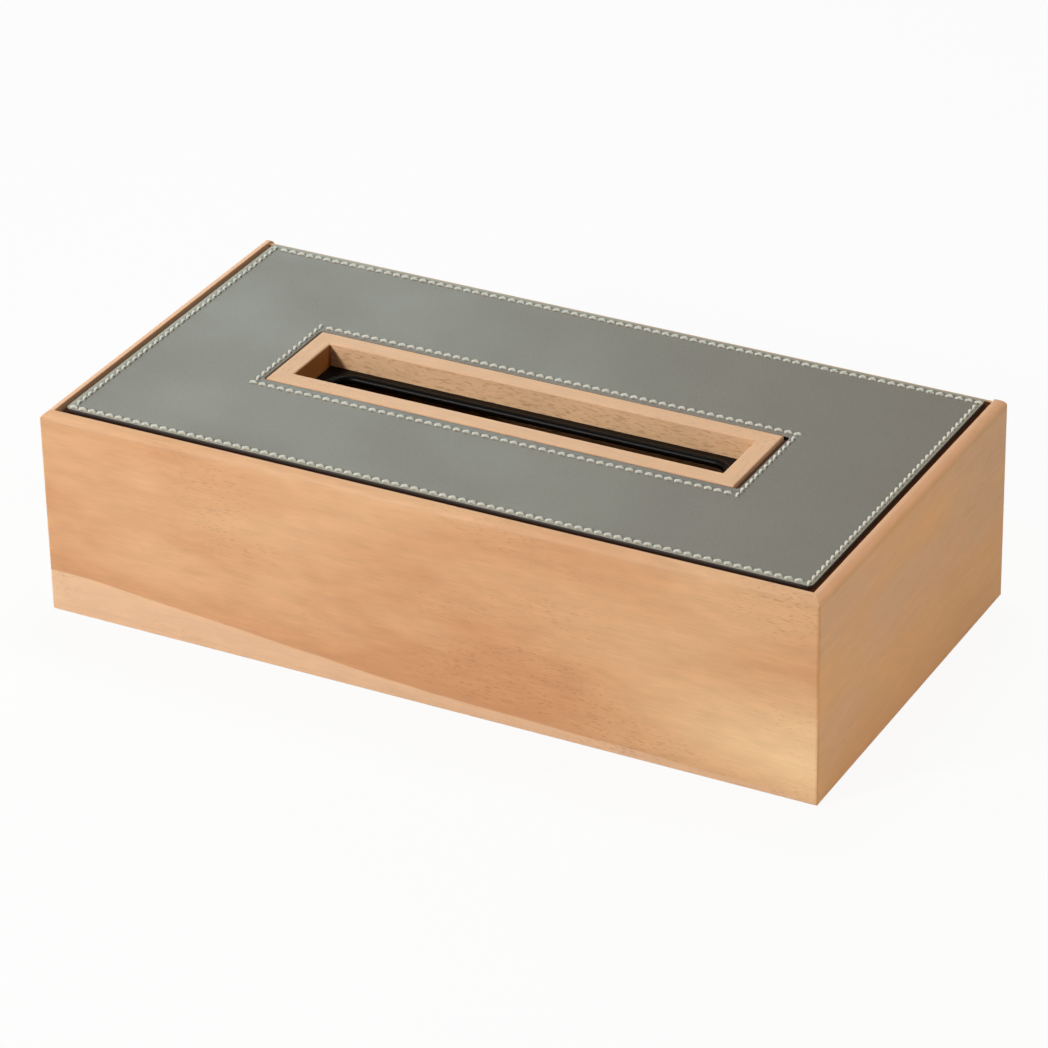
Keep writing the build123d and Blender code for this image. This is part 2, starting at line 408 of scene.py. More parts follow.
def with_sapwood(tree, place, colour, look):
    """Lay the front's pale patch and its band of sapwood over wood whose grain runs along X.

    The band keeps its height at the left end, narrows along its run, and ends as a thin edge
    that goes on to the right. Just above it the wood is deeper in tone.
    """
    start = cad_bounds[0].x + look.sapwood_start
    parts = node(tree, "ShaderNodeSeparateXYZ", {0: place}).outputs
    steep = (look.sapwood_height - look.sapwood_edge) / look.sapwood_run
    gentle = look.sapwood_edge / (1.1 * look.sapwood_run)
    far_level = look.sapwood_edge + gentle * look.sapwood_run
    falls = []
    for slope, level in ((steep, look.sapwood_height), (gentle, far_level)):
        settings = {0: parts["X"], 1: -slope, 2: level + slope * start}
        falls.append(node(tree, "ShaderNodeMath", settings, operation="MULTIPLY_ADD").outputs[0])
    settings = {0: falls[0], 1: falls[1]}
    border = node(tree, "ShaderNodeMath", settings, operation="MAXIMUM").outputs[0]
    settings = {0: border, 1: look.sapwood_height}
    border = node(tree, "ShaderNodeMath", settings, operation="MINIMUM").outputs[0]
    settings = {0: blotches(tree, place, 0, 30, 30, 2.0)[0], 1: BORDER_SWAY, 2: border}
    border = node(tree, "ShaderNodeMath", settings, operation="MULTIPLY_ADD").outputs[0]
    settings = {0: parts["Z"], 1: border}
    above = node(tree, "ShaderNodeMath", settings, operation="SUBTRACT").outputs[0]

    right = span(parts["X"], PATCH_START[0], PATCH_FULL[0])
    right = node(tree, "ShaderNodeMapRange", right).outputs[0]
    foot = span(parts["Z"], PATCH_START[1], PATCH_FULL[1])
    foot = node(tree, "ShaderNodeMapRange", foot).outputs[0]
    patch = node(tree, "ShaderNodeMath", {0: right, 1: foot}, operation="MULTIPLY").outputs[0]
    beside = node(tree, "ShaderNodeMapRange", span(above, *DEEP_REACH, 0.5, 0.0)).outputs[0]
    band = node(tree, "ShaderNodeMapRange", span(above, 0.4 * MM, 0.9 * MM, 1.0, 0.0)).outputs[0]
    for share, tone in ((patch, look.pale), (beside, look.warm), (band, look.sapwood)):
        settings = {0: share, 6: colour, 7: (*tone, 1)}
        colour = node(tree, "ShaderNodeMix", settings, data_type="RGBA").outputs[2]
    return colour


def birch_plywood(name, pale, deep):
    """Birch plywood, sanded, plain or stained: veneers whose edges show as thin bands.

    The bands run level, one veneer apart, and the face has long faint rotary-cut streaks.
    """
    material, tree, shader, place = new_material(name)
    height = node(tree, "ShaderNodeSeparateXYZ", {0: place}).outputs["Z"]
    settings = {0: height, 1: math.pi / VENEER}
    plies = node(tree, "ShaderNodeMath", settings, operation="MULTIPLY").outputs[0]
    plies = node(tree, "ShaderNodeMath", {0: plies}, operation="SINE").outputs[0]
    facing = node(tree, "ShaderNodeNewGeometry").outputs["Normal"]
    facing = node(tree, "ShaderNodeSeparateXYZ", {0: facing}).outputs["Z"]
    level = node(tree, "ShaderNodeMath", {0: facing}, operation="ABSOLUTE").outputs[0]
    upright = node(tree, "ShaderNodeMath", {0: 1.0, 1: level}, operation="SUBTRACT").outputs[0]
    bands = node(tree, "ShaderNodeMath", {0: plies, 1: upright}, operation="MULTIPLY").outputs[0]
    streaks = blotches(tree, place, 0, 90, 5, 4.0)[0]
    fibres = blotches(tree, place, 0, 9, 0.5, 2.0)[0]
    settings = {0: bands, 1: 0.5, 2: streaks}
    share = node(tree, "ShaderNodeMath", settings, operation="MULTIPLY_ADD").outputs[0]
    settings = {0: share, 6: (*linear(pale), 1), 7: (*linear(deep), 1)}
    colour = node(tree, "ShaderNodeMix", settings, data_type="RGBA").outputs[2]
    tone = node(tree, "ShaderNodeMapRange", span(fibres, 0.3, 0.7, 1.04, 0.93)).outputs[0]
    settings = {0: colour, "Scale": tone}
    colour = node(tree, "ShaderNodeVectorMath", settings, operation="SCALE").outputs[0]
    settings = {"Height": fibres, "Strength": 0.4, "Distance": 0.06 * MM}
    bump = node(tree, "ShaderNodeBump", settings).outputs[0]
    feed(shader, {"Base Color": colour, "Normal": bump, "Roughness": 0.7, "IOR": 1.45})
    return material


def aniline_leather(look):
    """Finished cowhide, drum-dyed grey: fine pebbled grain, a soft low gloss and faint clouds.

    The mesh's own attribute "margin" says where the face outside the outer seam is painted lighter,
    a painted highlight for the light that its falling edge reflects.
    """
    material, tree, shader, place = new_material("aniline_leather_grey")
    size = look.grain_size / MM
    bend = blotches(tree, place, 0, 2.2, 2.2, 1.0)["Color"]
    settings = {0: bend, 1: (0.9, 0.9, 0.9), 2: stretched(tree, place, 0, size, size)}
    bent = node(tree, "ShaderNodeVectorMath", settings, operation="MULTIPLY_ADD").outputs[0]
    settings = {"Vector": bent, "Scale": 1.0, "Smoothness": 0.35}
    pebbles = node(tree, "ShaderNodeTexVoronoi", settings, feature="SMOOTH_F1")
    pebbles = pebbles.outputs["Distance"]
    pores = blotches(tree, place, 0, 0.3, 0.3, 2.0)[0]
    clouds = blotches(tree, place, 0, 38, 38, 3.0)[0]
    valley = node(tree, "ShaderNodeMapRange", span(pebbles, 0.25, 0.75, 0.0, 0.35)).outputs[0]
    shade = node(tree, "ShaderNodeMapRange", span(clouds, 0.35, 0.7, 0.0, 0.35)).outputs[0]
    settings = {0: valley, 1: shade}
    share = node(tree, "ShaderNodeMath", settings, operation="ADD", use_clamp=True).outputs[0]
    # painted highlight: the margin outside the outer seam is mixed to a lighter tone
    margin = node(tree, "ShaderNodeAttribute", attribute_name="margin").outputs["Fac"]
    colour = (*look.field, 1)
    for part, tone in ((share, look.shade), (margin, look.margin)):
        settings = {0: part, 6: colour, 7: (*tone, 1)}
        colour = node(tree, "ShaderNodeMix", settings, data_type="RGBA").outputs[2]
    rough = node(tree, "ShaderNodeMapRange", span(clouds, 0.3, 0.7, 0.42, 0.5)).outputs[0]
    settings = {0: pores, 1: 0.3, 2: pebbles}
    relief = node(tree, "ShaderNodeMath", settings, operation="MULTIPLY_ADD").outputs[0]
    settings = {"Height": relief, "Strength": 0.3, "Distance": 0.09 * MM}
    bump = node(tree, "ShaderNodeBump", settings, invert=True).outputs[0]
    feed(shader, {"Base Color": colour, "Roughness": rough, "Normal": bump, "IOR": 1.5})
    return material


def speckled(name, size, detail, tones=None, gloss=None, relief=None, even=None):
    """A finish whose tone, gloss and relief vary in specks of one size in millimetres.

    tones and gloss are its two colours and its two roughnesses, relief the strength and depth of
    its bump, and even holds the shader's inputs that are the same all over.
    """
    material, tree, shader, place = new_material(name)
    specks = blotches(tree, place, 0, size, size, detail)[0]
    if tones:
        settings = {0: specks, 6: (*tones[0], 1), 7: (*tones[1], 1)}
        colour = node(tree, "ShaderNodeMix", settings, data_type="RGBA").outputs[2]
        feed(shader, {"Base Color": colour})
    if gloss:
        rough = node(tree, "ShaderNodeMapRange", span(specks, 0.3, 0.7, *gloss)).outputs[0]
        feed(shader, {"Roughness": rough})
    if relief:
        settings = {"Height": specks, "Strength": relief[0], "Distance": relief[1]}
        feed(shader, {"Normal": node(tree, "ShaderNodeBump", settings).outputs[0]})
    feed(shader, even or {})
    return material


def edge_paint(look):
    """Cut edge of the leather, rubbed smooth and painted dark brown, slightly uneven and satin."""
    tones = (look.edge, [1.9 * c for c in look.edge])
    relief = (0.3, 0.08 * MM)
    return speckled("edge_paint_dark_brown", 1.6, 3.0, tones, None, relief, {"Roughness": 0.5})


def waxed_thread(look):
    """Waxed linen thread, off-white: fine strands that catch soft light, with a little dust."""
    tones = (look.colour, [0.8 * c for c in look.colour])
    relief = (0.4, 0.05 * MM)
    return speckled("waxed_linen_thread", 0.25, 2.0, tones, None, relief, {"Roughness": 0.6})


def moulded_plastic():
    """Injection-moulded black ABS: deep black with a fine spark-eroded texture, satin."""
    even = {"Base Color": (*linear("#050303"), 1), "Specular IOR Level": 0.12}
    return speckled("moulded_abs_black", 0.35, 2.0, None, (0.36, 0.44), (0.15, 0.02 * MM), even)


def zinc_plate():
    """Bright zinc-plated steel screw heads, slightly clouded by the bath."""
    tones = (linear("#C4C3BE"), linear("#A9A8A0"))
    return speckled("zinc_plated_steel", 0.9, 3.0, tones, (0.24, 0.42), None, {"Metallic": 1.0})


def studio_floor():
    """White sweep: white to the camera and in reflections, keeping a faint shadow."""
    material, tree, shader, _ = new_material("studio_floor_white")
    feed(shader, {"Base Color": (0.85, 0.85, 0.85, 1), "Roughness": 0.9})
    rays = node(tree, "ShaderNodeLightPath").outputs
    settings = {0: rays["Is Camera Ray"], 1: rays["Is Glossy Ray"]}
    seen = node(tree, "ShaderNodeMath", settings, operation="MAXIMUM").outputs[0]
    share = node(tree, "ShaderNodeMath", {0: seen, 1: 0.92}, operation="MULTIPLY").outputs[0]
    glow = node(tree, "ShaderNodeEmission", {"Color": (1, 1, 1, 1), "Strength": 1.0}).outputs[0]
    mix = node(tree, "ShaderNodeMixShader", {0: share, 1: shader.outputs[0], 2: glow}).outputs[0]
    feed(tree.nodes["Material Output"], {"Surface": mix})
    return material


# ---- shapes ----------------------------------------------------------------------------------


def rounded_loop(half, radius, counts, corner_steps, centre):
    """Points of a rounded rectangle, the same number whatever its size, from the front's left end.

    half is half the length and width, counts the steps along a long and a short side.
    """
    points = []
    turns = ((1, -1), (1, 1), (-1, 1), (-1, -1))
    headings = (Vector((1, 0)), Vector((0, 1)), Vector((-1, 0)), Vector((0, -1)))
    for side, ((sx, sy), ahead) in enumerate(zip(turns, headings)):
        steps = counts[side % 2]
        corner = Vector((centre[0] + sx * (half[0] - radius), centre[1] + sy * (half[1] - radius)))
        out = Vector((ahead.y, -ahead.x))
        run = 2 * (half[side % 2] - radius)
        start = corner + out * radius - ahead * run
        points += [start + ahead * (run * step / steps) for step in range(steps)]
        for step in range(corner_steps):
            angle = math.pi / 2 * step / corner_steps
            points.append(corner + radius * (out * math.cos(angle) + ahead * math.sin(angle)))
    return points


def smooth_fall(value):
    """1 at 0, falling smoothly to near 0 at 2."""
    return math.exp(-value * value * 1.6)


def seam_dip(look, stitch, off_seam, phase):
    """How far the face lies below its level near the seam, deepest under the middle of a stitch.

    phase is 0 at one needle hole and 1 at the next.
    """
    pull = look.seam_depth * smooth_fall(off_seam / PULL_REACH)
    dent = look.dent_depth * smooth_fall(off_seam / DENT_WIDTH)
    from_middle = 0.5 - min(phase, 1 - phase)
    return pull + dent * smooth_fall(from_middle * stitch.pitch / DENT_LENGTH)


def seam_phases(loop, pitch, counts, corner_steps):
    """Where each point of the seam's loop lies between two needle holes, 0 to 1 from a hole."""
    phases = []
    start = 0
    for side in range(4):
        steps = counts[side % 2]
        run = (loop[start + steps] - loop[start]).length
        stitches = max(1, round(run / pitch))
        phases += [(stitches * step / steps) % 1 for step in range(steps)]
        phases += [0.0] * corner_steps
        start += steps + corner_steps
    return phases


def leather_opening():
    """Lowest and highest corner of the opening in the CAD sheet, read on its underside."""
    low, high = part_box("leather_cover")
    margin = 10 * MM
    underside = low.z + 0.1 * MM
    points = [
        v.co
        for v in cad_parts["leather_cover"].data.vertices
        if low.x + margin < v.co.x < high.x - margin
        and low.y + margin < v.co.y < high.y - margin
        and v.co.z < underside
    ]
    if not points:
        raise RuntimeError("the leather has no opening")
    corners = ((min(p[i] for p in points), max(p[i] for p in points)) for i in range(3))
    return tuple(Vector(corner) for corner in zip(*corners))


def stitch_tree(thread):
    """Geometry Nodes that lay one twisted stitch between each pair of needle holes of a seam."""
    tree = bpy.data.node_groups.new("stitch_seam", "GeometryNodeTree")
    tree.is_modifier = True
    sockets = tree.interface
    sockets.new_socket("Geometry", in_out="INPUT", socket_type="NodeSocketGeometry")
    for name, subtype in (("Pitch", "DISTANCE"), ("Thread", "DISTANCE"), ("Slant", "ANGLE")):
        socket = sockets.new_socket(name, in_out="INPUT", socket_type="NodeSocketFloat")
        socket.subtype = subtype
    sockets.new_socket("Seed", in_out="INPUT", socket_type="NodeSocketInt")
    sockets.new_socket("Geometry", in_out="OUTPUT", socket_type="NodeSocketGeometry")
    given = node(tree, "NodeGroupInput").outputs

    # needle holes, evenly spaced along each side of the seam
    length = node(tree, "GeometryNodeSplineLength").outputs["Length"]
    settings = {0: length, 1: given["Pitch"]}
    stitches = node(tree, "ShaderNodeMath", settings, operation="DIVIDE").outputs[0]
    stitches = node(tree, "ShaderNodeMath", {0: stitches}, operation="ROUND").outputs[0]
    holes = node(tree, "ShaderNodeMath", {0: stitches, 1: 1.0}, operation="ADD").outputs[0]
    settings = {"Curve": given["Geometry"], "Count": holes}
    seam = node(tree, "GeometryNodeResampleCurve", settings).outputs[0]
    settings = {"Start Size": 0, "End Size": 1}
    last = node(tree, "GeometryNodeCurveEndpointSelection", settings).outputs[0]
    wanted = node(tree, "FunctionNodeBooleanMath", {0: last}, operation="NOT").outputs[0]

    # each stitch lies along the seam, turned a little out of its line
    tangent = node(tree, "GeometryNodeInputTangent").outputs[0]
    kind = "FunctionNodeAlignRotationToVector"
    line = node(tree, kind, {"Vector": tangent}, axis="X", pivot_axis="Z").outputs[0]
    settings = {2: -STITCH_JITTER, 3: STITCH_JITTER, "Seed": given["Seed"]}
    jitter = node(tree, "FunctionNodeRandomValue", settings, data_type="FLOAT").outputs[1]
    settings = {0: given["Slant"], 1: jitter}
    lean = node(tree, "ShaderNodeMath", settings, operation="ADD").outputs[0]
    lean = node(tree, "ShaderNodeCombineXYZ", {"Z": lean}).outputs[0]
    settings = {"Rotation": line, "Rotate By": lean}
    kind = "FunctionNodeRotateRotation"
    turned = node(tree, kind, settings, rotation_space="LOCAL").outputs[0]
    settings = {0: length, 1: stitches}
    spacing = node(tree, "ShaderNodeMath", settings, operation="DIVIDE").outputs[0]
    half = node(tree, "ShaderNodeMath", {0: spacing, 1: 0.5}, operation="MULTIPLY").outputs[0]
    settings = {0: tangent, "Scale": half}
    step = node(tree, "ShaderNodeVectorMath", settings, operation="SCALE").outputs[0]

    # one stitch: three strands twisted together, rising out of one hole and down into the next
    measures = {}
    for name, source, share in (
        ("reach", "Pitch", 0.3),
        ("back", "Pitch", -0.3),
        ("down", "Thread", -0.55),
        ("rise", "Thread", 0.64),
        ("radius", "Thread", 0.54),
        ("waist", "Thread", 0.4),
    ):
        settings = {0: given[source], 1: share}
        made = node(tree, "ShaderNodeMath", settings, operation="MULTIPLY")
        measures[name] = made.outputs[0]
    settings = {"Resolution": 9}
    for point, x, z in (
        ("Start", "back", "down"),
        ("Start Handle", "back", "rise"),
        ("End Handle", "reach", "rise"),
        ("End", "reach", "down"),
    ):
        place = {"X": measures[x], "Z": measures[z]}
        settings[point] = node(tree, "ShaderNodeCombineXYZ", place).outputs[0]
    kind = "GeometryNodeCurvePrimitiveBezierSegment"
    arch = node(tree, kind, settings, mode="POSITION").outputs[0]
    along = node(tree, "GeometryNodeSplineParameter").outputs["Factor"]
    settings = {0: along, 1: STRAND_TWIST}
    twist = node(tree, "ShaderNodeMath", settings, operation="MULTIPLY").outputs[0]
    settings = {"Curve": arch, "Tilt": twist}
    twisted = node(tree, "GeometryNodeSetCurveTilt", settings).outputs[0]
    settings = {"Points": 3, "Inner Radius": measures["waist"], "Outer Radius": measures["radius"]}
    strands = node(tree, "GeometryNodeCurveStar", settings).outputs[0]
    kind = "GeometryNodeCurveSplineType"
    strands = node(tree, kind, {"Curve": strands}, spline_type="CATMULL_ROM").outputs[0]
    settings = {"Curve": strands, "Count": 12}
    strands = node(tree, "GeometryNodeResampleCurve", settings).outputs[0]
    settings = {"Curve": twisted, "Profile Curve": strands, "Fill Caps": True}
    stitch = node(tree, "GeometryNodeCurveToMesh", settings).outputs[0]

    settings = {"Points": seam, "Selection": wanted, "Instance": stitch, "Rotation": turned}
    laid = node(tree, "GeometryNodeInstanceOnPoints", settings).outputs[0]
    settings = {"Instances": laid, "Translation": step, "Local Space": False}
    moved = node(tree, "GeometryNodeTranslateInstances", settings).outputs[0]
    real = node(tree, "GeometryNodeRealizeInstances", {"Geometry": moved}).outputs[0]
    smooth = node(tree, "GeometryNodeSetShadeSmooth", {"Geometry": real}).outputs[0]
    settings = {"Geometry": smooth, "Material": thread}
    dyed = node(tree, "GeometryNodeSetMaterial", settings).outputs[0]
    node(tree, "NodeGroupOutput", {0: dyed})
    return tree


# ---- the steps -------------------------------------------------------------------------------


class TISSUEBOX_OT_walls(bpy.types.Operator):
    """Finish the four mitred walls in oiled hardwood"""

    bl_idname = "tissue_box.walls"
    bl_label = "Finish walls"

    def execute(self, context):
        look = context.scene.tissue_box.wood
        # on the front and back the rim's painted highlight is laid on lightly
        long_grain = {"body": look.body, "warm": look.warm, "rim": look.rim, "rim_share": 0.25}
        front = hardwood("oiled_hardwood_front", 0, sapwood=look, **long_grain)
        along = hardwood("oiled_hardwood_long_grain", 0, **long_grain)
        # the end boards carry painted light: their darker upper tone is painted shade under the
        # rim, and the rim's paler tone is laid on fully as a painted highlight
        ends = hardwood(
            "oiled_hardwood_end_boards",
            math.pi / 2,
            look.end_top,
            look.end_foot,
            contrast=0.7,
            flecks=0.2,
            rim=look.rim,
            rim_share=1.0,
        )
        finishes = {"front": front, "back": along, "left": ends, "right": ends}
        for side in SIDES:
            paint(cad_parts[f"{side}_wall"], finishes[side])
        return {"FINISHED"}


class TISSUEBOX_OT_boards(bpy.types.Operator):
    """Finish the base and the mitre keys in plain plywood, and the lid's board in dark plywood
    whose edges are painted shade in the gaps round the lid
    """

    bl_idname = "tissue_box.boards"
    bl_label = "Finish boards"

    def execute(self, context):
        plain = birch_plywood("birch_plywood_plain", "#E3C69A", "#C79B68")
        # painted shade: only the lid board's edges show, down in the gaps at the lid's edge and
        # round the slot frame, and their dark tone stands in for the shade there
        stained = birch_plywood("birch_plywood_dark_gap_shade", "#6A3B22", "#4A2413")
        for name in ("base_board", "corner_keys"):
            paint(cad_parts[name], plain)
        paint(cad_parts["lid_board"], stained)
        return {"FINISHED"}


class TISSUEBOX_OT_leather(bpy.types.Operator):
    """Make the leather sheet with its falling edges, pulled seams and painted cut edges"""

    bl_idname = "tissue_box.leather"
    bl_label = "Make leather"

    # steps along each side and corner, and rings across the cut edge, its rounding and the face
    long_steps = 400
    short_steps = 200
    corner_steps = 8
    wall_steps = 5
    round_steps = 4
    band_steps = 13
    fill_steps = 6

    band = 6 * MM  # width of the finely divided band that holds the seam
    outer_corner = 2 * MM
    opening_corner = 1 * MM
    least_corner = 0.25 * MM
    bulge = 0.1 * MM  # how far the cut edge swells out
    edge_curve = 1.4  # over 1, so that the face starts to fall slowly
    margin_end = 4.05  # rings into the band at which the margin's painted highlight is gone
    margin_fade = 3  # rings over which it fades
    crease = math.radians(50)  # a sharper fold shows as an edge

    def execute(self, context):
        settings = context.scene.tissue_box
        look = settings.leather
        stitch = settings.stitch
        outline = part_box("leather_cover")
        levels = (outline[0].z, outline[1].z)
        rings = self.edge_rings(
            look, stitch, outline, self.outer_corner, levels, stitch.outer_insets, 1
        )
        far = self.edge_rings(
            look, stitch, leather_opening(), self.opening_corner, levels, stitch.opening_insets, -1
        )
        far.reverse()
        innermost = rings[-1]
        for step in range(1, self.fill_steps):
            share = step / self.fill_steps
            rings.append([a.lerp(b, share) for a, b in zip(innermost, far[0])])
        rings += far
        leather = self.skin(rings)
        leather.data.materials.append(aniline_leather(look))
        leather.data.materials.append(edge_paint(look))
        self.mark_margin_highlight(leather, rings)
        points = len(rings[0])
        for face in leather.data.polygons:
            ring = face.index // points
            outer_edge = ring < self.wall_steps + self.round_steps - 1
            opening_edge = ring >= len(rings) - 1 - self.wall_steps
            face.material_index = 1 if outer_edge or opening_edge else 0
        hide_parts("leather_cover")
        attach(leather, "lid")
        return {"FINISHED"}

    def mark_margin_highlight(self, leather, rings):
        """Set the attribute that is 1 on the margin's painted highlight and fades out across the
        seam.
        """
        points = len(rings[0])
        margin = leather.data.attributes.new("margin", "FLOAT", "POINT")
        for index, item in enumerate(margin.data):
            ring = index // points
            steps_in = ring - self.wall_steps - self.round_steps
            share = min(1.0, max(0.0, (self.margin_end - steps_in) / self.margin_fade))
            item.value = share if ring < len(rings) / 2 else 0.0

    def edge_rings(self, look, stitch, outline, corner, levels, insets, inward):
        """Rings from the underside up the cut edge, over its rounding and across the seam.

        outline is its lowest and highest corner. inward is 1 for the outer edge, whose sheet lies
        inside it, and -1 for the opening. insets place the seam at the front, right, back and left.
        """
        low, high = outline
        counts = (self.long_steps, self.short_steps)
        bottom, top = levels
        half = ((high.x - low.x) / 2, (high.y - low.y) / 2)
        centre = ((high.x + low.x) / 2, (high.y + low.y) / 2)

        def ring_at(inset, heights):
            reach = (half[0] - inward * inset, half[1] - inward * inset)
            radius = max(corner - inward * inset, self.least_corner)
            loop = rounded_loop(reach, radius, counts, self.corner_steps, centre)
            return [Vector((p.x, p.y, z)) for p, z in zip(loop, heights)]

        seam_low = (low.x + inward * insets[3], low.y + inward * insets[0])
        seam_high = (high.x - inward * insets[1], high.y - inward * insets[2])
        seam_half = [(b - a) / 2 for a, b in zip(seam_low, seam_high)]
        seam_centre = [(b + a) / 2 for a, b in zip(seam_low, seam_high)]
        seam = rounded_loop(seam_half, self.least_corner, counts, self.corner_steps, seam_centre)
        phases = seam_phases(seam, stitch.pitch, counts, self.corner_steps)
        seam_insets = []
        for side in range(4):
            here, ahead = insets[side], insets[(side + 1) % 4]
            seam_insets += [here] * counts[side % 2]
            turn = range(self.corner_steps)
            seam_insets += [here + (ahead - here) * step / self.corner_steps for step in turn]

        points = len(phases)
        shoulder = top - look.edge_drop - look.edge_round
        rings = []
        for step in range(self.wall_steps):
            share = step / self.wall_steps
            inset = self.bulge * (1 - math.sin(math.pi * share))
            rings.append(ring_at(inset, [bottom + (shoulder - bottom) * share] * points))
        for step in range(self.round_steps):
            angle = math.pi / 2 * step / self.round_steps
            inset = self.bulge + look.edge_round * (1 - math.cos(angle))
            rings.append(ring_at(inset, [shoulder + look.edge_round * math.sin(angle)] * points))
        start = self.bulge + look.edge_round
        for step in range(self.band_steps + 1):
            inset = start + (self.band - start) * step / self.band_steps
            heights = []
            for phase, seam_inset in zip(phases, seam_insets):
                beyond = max(0.0, 1 - (inset - start) / (seam_inset - start))
                level = top - look.edge_drop * beyond**self.edge_curve
                heights.append(level - seam_dip(look, stitch, abs(inset - seam_inset), phase))
            rings.append(ring_at(inset, heights))
        return rings

    def skin(self, rings):
        """A closed mesh through the rings, with its underside."""
        count = len(rings[0])
        verts = [point for ring in rings for point in ring]
        faces = []
        for ring in range(len(rings)):
            here, after = ring * count, (ring + 1) % len(rings) * count
            for i in range(count):
                j = (i + 1) % count
                faces.append((here + i, here + j, after + j, after + i))
        mesh = bpy.data.meshes.new("leather_sheet")
        mesh.from_pydata(verts, [], faces)
        mesh.shade_smooth()
        mesh.set_sharp_from_angle(angle=self.crease)
        obj = bpy.data.objects.new("leather_sheet", mesh)
        bpy.context.scene.collection.objects.link(obj)
        return obj


class TISSUEBOX_OT_stitching(bpy.types.Operator):
    """Lay the two lines of stitches with Geometry Nodes"""

    bl_idname = "tissue_box.stitching"
    bl_label = "Make stitching"

    def execute(self, context):
        settings = context.scene.tissue_box
        look = settings.stitch
        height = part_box("leather_cover")[1].z - settings.leather.seam_depth
        curve = bpy.data.curves.new("seam_lines", "CURVE")
        curve.dimensions = "3D"
        sides = (
            (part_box("leather_cover"), look.outer_insets, 1),
            (leather_opening(), look.opening_insets, -1),
        )
        for (low, high), (front, right, back, left), inward in sides:
            x0, y0 = low.x + inward * left, low.y + inward * front
            x1, y1 = high.x - inward * right, high.y - inward * back
            corners = [(x0, y0), (x1, y0), (x1, y1), (x0, y1)]
            for start, end in zip(corners, corners[1:] + corners[:1]):
                line = curve.splines.new("POLY")
                line.points.add(1)
                line.points[0].co = (*start, height, 1)
                line.points[1].co = (*end, height, 1)
        seams = bpy.data.objects.new("seam_lines", curve)
        context.scene.collection.objects.link(seams)
        tree = stitch_tree(waxed_thread(look))
        modifier = seams.modifiers.new("stitches", "NODES")
        modifier.node_group = tree
        values = {
            "Pitch": look.pitch,
            "Thread": look.thread,
            "Slant": look.slant,
            "Seed": look.seed,
        }
        for item in tree.interface.items_tree:
            if item.item_type == "SOCKET" and item.name in values:
                modifier[item.identifier] = values[item.name]
        evaluated = seams.evaluated_get(context.evaluated_depsgraph_get())
        mesh = bpy.data.meshes.new_from_object(evaluated)
        if not mesh.polygons:
            raise RuntimeError("the seams have no stitches")
        mesh.name = "stitching"
        stitching = bpy.data.objects.new("stitching", mesh)
        context.scene.collection.objects.link(stitching)
        bpy.data.objects.remove(seams)
        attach(stitching, "lid")
        return {"FINISHED"}


class TISSUEBOX_OT_slot_frame(bpy.types.Operator):
    """Finish the four strips round the slot in paler hardwood"""

    bl_idname = "tissue_box.slot_frame"
    bl_label = "Finish slot frame"

    def execute(self, context):
        look = context.scene.tissue_box.wood
        warm = [0.94 * c for c in look.strip]
        for side in SIDES:
            turn = 0 if side in ("front", "back") else math.pi / 2
            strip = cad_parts[f"slot_frame_{side}"]
            paint(strip, hardwood(f"oiled_strip_{side}", turn, look.strip, warm, contrast=0.8))
            # the left wall takes the painted shade, the other walls the paler tone of painted light
            inner = look.shaded_end if side == "left" else look.inner
            open_pored_painted_light = hardwood(
                f"strip_inner_painted_light_{side}",
                turn,
                inner,
                [0.8 * c for c in inner],
                flecks=2.5,
                fleck_size=(2.8, 0.6),
            )
            strip.data.materials.append(open_pored_painted_light)
            for face in strip.data.polygons:
                if abs(face.normal.z) < 0.1:
                    face.material_index = 1
        return {"FINISHED"}


class TISSUEBOX_OT_insert(bpy.types.Operator):
    """Finish the moulded insert under the lid and its screws"""

    bl_idname = "tissue_box.insert"
    bl_label = "Finish insert"

    def execute(self, context):
        paint(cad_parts["dispensing_insert"], moulded_plastic())
        paint(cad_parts["insert_screws"], zinc_plate())
        return {"FINISHED"}


